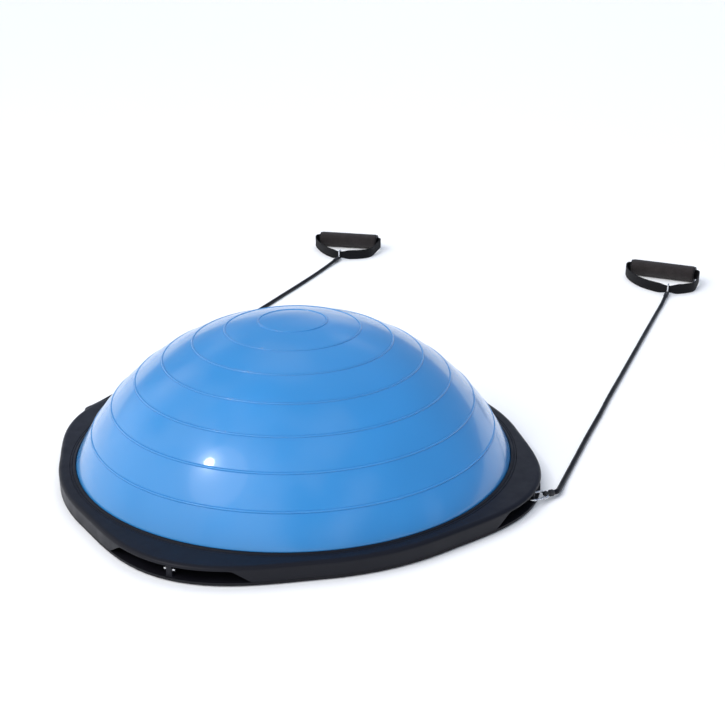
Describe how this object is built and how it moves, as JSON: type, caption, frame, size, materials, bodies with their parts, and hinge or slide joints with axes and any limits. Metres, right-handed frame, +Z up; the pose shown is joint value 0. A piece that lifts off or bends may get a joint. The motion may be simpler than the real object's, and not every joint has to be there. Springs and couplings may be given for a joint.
{
  "type": "balance dome trainer",
  "caption": "Air-filled half-ball balance trainer on a lobed platform with hand holds and hooked resistance bands.",
  "frame": {"origin": "on the floor, under the centre of the dome", "axes": "+Z up through the dome's top; the bands hook to the lobes on +X and -X and run out along +Y"},
  "size_m": [0.8379, 1.4171, 0.2041],
  "materials": {
    "deck_plastic": "satin black moulded plastic",
    "pan_plastic": "matt black moulded plastic",
    "ring_plastic": "satin black moulded plastic",
    "dome_vinyl": "glossy blue vinyl",
    "bright_steel": "bright plated steel",
    "zinc_steel": "zinc plated steel",
    "pad_rubber": "matt black rubber",
    "valve_rubber": "matt black rubber",
    "sleeve_rubber": "satin black rubber",
    "tube_latex": "satin black latex",
    "webbing": "woven black webbing",
    "grip_foam": "matt black foam",
    "grip_plastic": "matt black plastic"
  },
  "bodies": {
    "base": {"deck_shell": "deck_plastic", "base_pan": "pan_plastic", "clamp_ring": "ring_plastic", "dome_skin": "dome_vinyl", "rim_gasket": "pad_rubber", "valve_seat": "valve_rubber", "anchor_post_1": "deck_plastic", "anchor_post_2": "deck_plastic", "anchor_post_3": "deck_plastic", "anchor_post_4": "deck_plastic", "anchor_pin_1": "bright_steel", "anchor_pin_2": "bright_steel", "anchor_pin_3": "bright_steel", "anchor_pin_4": "bright_steel", "rim_screws": "zinc_steel", "pan_screws": "zinc_steel", "foot_pads": "pad_rubber"},
    "plug": {"valve_plug": "valve_rubber"},
    "hook_right": {"snap_hook_right": "bright_steel", "gate_pin_right": "bright_steel", "gate_spring_right": "bright_steel"},
    "gate_right": {"hook_gate_right": "bright_steel"},
    "band_right": {"hook_ferrule_right": "sleeve_rubber", "tube_right": "tube_latex", "tube_plugs_right": "zinc_steel", "grip_ferrule_right": "sleeve_rubber"},
    "ring_right": {"handle_ring_right": "bright_steel"},
    "handle_right": {"strap_right": "webbing"},
    "grip_right": {"grip_core_right": "grip_plastic", "grip_bushes_right": "grip_plastic", "grip_foam_right": "grip_foam"},
    "hook_left": {"snap_hook_left": "bright_steel", "gate_pin_left": "bright_steel", "gate_spring_left": "bright_steel"},
    "gate_left": {"hook_gate_left": "bright_steel"},
    "band_left": {"hook_ferrule_left": "sleeve_rubber", "tube_left": "tube_latex", "tube_plugs_left": "zinc_steel", "grip_ferrule_left": "sleeve_rubber"},
    "ring_left": {"handle_ring_left": "bright_steel"},
    "handle_left": {"strap_left": "webbing"},
    "grip_left": {"grip_core_left": "grip_plastic", "grip_bushes_left": "grip_plastic", "grip_foam_left": "grip_foam"}
  },
  "joints": [
    {"name": "valve_plug_pull", "type": "slide", "parent": "base", "child": "plug", "axis": [0, 0, -1], "range_m": [0, 0.014]},
    {"name": "hook_swing_right", "type": "hinge", "parent": "base", "child": "hook_right", "pos_m": [0.329, 0, 0.0075], "axis": [0, 0, 1], "range_deg": [-110, 15]},
    {"name": "gate_open_right", "type": "hinge", "parent": "hook_right", "child": "gate_right", "pos_m": [0.3435, 0.00177, 0.0075], "axis": [0, 0, -1], "range_deg": [0, 24], "stiffness_Nm_per_rad": 0.003, "springref_deg": -28.65},
    {"name": "band_lift_right", "type": "hinge", "parent": "hook_right", "child": "band_right", "pos_m": [0.34314, 0.01414, 0.0075], "axis": [0.7071, -0.7071, 0], "range_deg": [0, 75]},
    {"name": "ring_swing_right", "type": "hinge", "parent": "band_right", "child": "ring_right", "pos_m": [0.361, 0.944, 0.0055], "axis": [0, 0, 1], "range_deg": [-60, 60]},
    {"name": "handle_swing_right", "type": "hinge", "parent": "ring_right", "child": "handle_right", "pos_m": [0.361, 0.954, 0.011], "axis": [0, 0, 1], "range_deg": [-25, 25]},
    {"name": "grip_spin_right", "type": "hinge", "parent": "handle_right", "child": "grip_right", "pos_m": [0.33458, 1.06141, 0.016], "axis": [0.9969, -0.0785, 0], "continuous": true},
    {"name": "hook_swing_left", "type": "hinge", "parent": "base", "child": "hook_left", "pos_m": [-0.329, 0, 0.0075], "axis": [0, 0, 1], "range_deg": [-15, 110]},
    {"name": "gate_open_left", "type": "hinge", "parent": "hook_left", "child": "gate_left", "pos_m": [-0.3435, 0.00177, 0.0075], "axis": [0, 0, 1], "range_deg": [0, 24], "stiffness_Nm_per_rad": 0.003, "springref_deg": -28.65},
    {"name": "band_lift_left", "type": "hinge", "parent": "hook_left", "child": "band_left", "pos_m": [-0.34314, 0.01414, 0.0075], "axis": [0.7071, 0.7071, 0], "range_deg": [0, 75]},
    {"name": "ring_swing_left", "type": "hinge", "parent": "band_left", "child": "ring_left", "pos_m": [-0.334, 0.934, 0.0055], "axis": [0, 0, 1], "range_deg": [-60, 60]},
    {"name": "handle_swing_left", "type": "hinge", "parent": "ring_left", "child": "handle_left", "pos_m": [-0.334, 0.944, 0.011], "axis": [0, 0, 1], "range_deg": [-25, 25]},
    {"name": "grip_spin_left", "type": "hinge", "parent": "handle_left", "child": "grip_left", "pos_m": [-0.35534, 1.04194, 0.016], "axis": [0.9888, 0.1495, 0], "continuous": true}
  ]
}
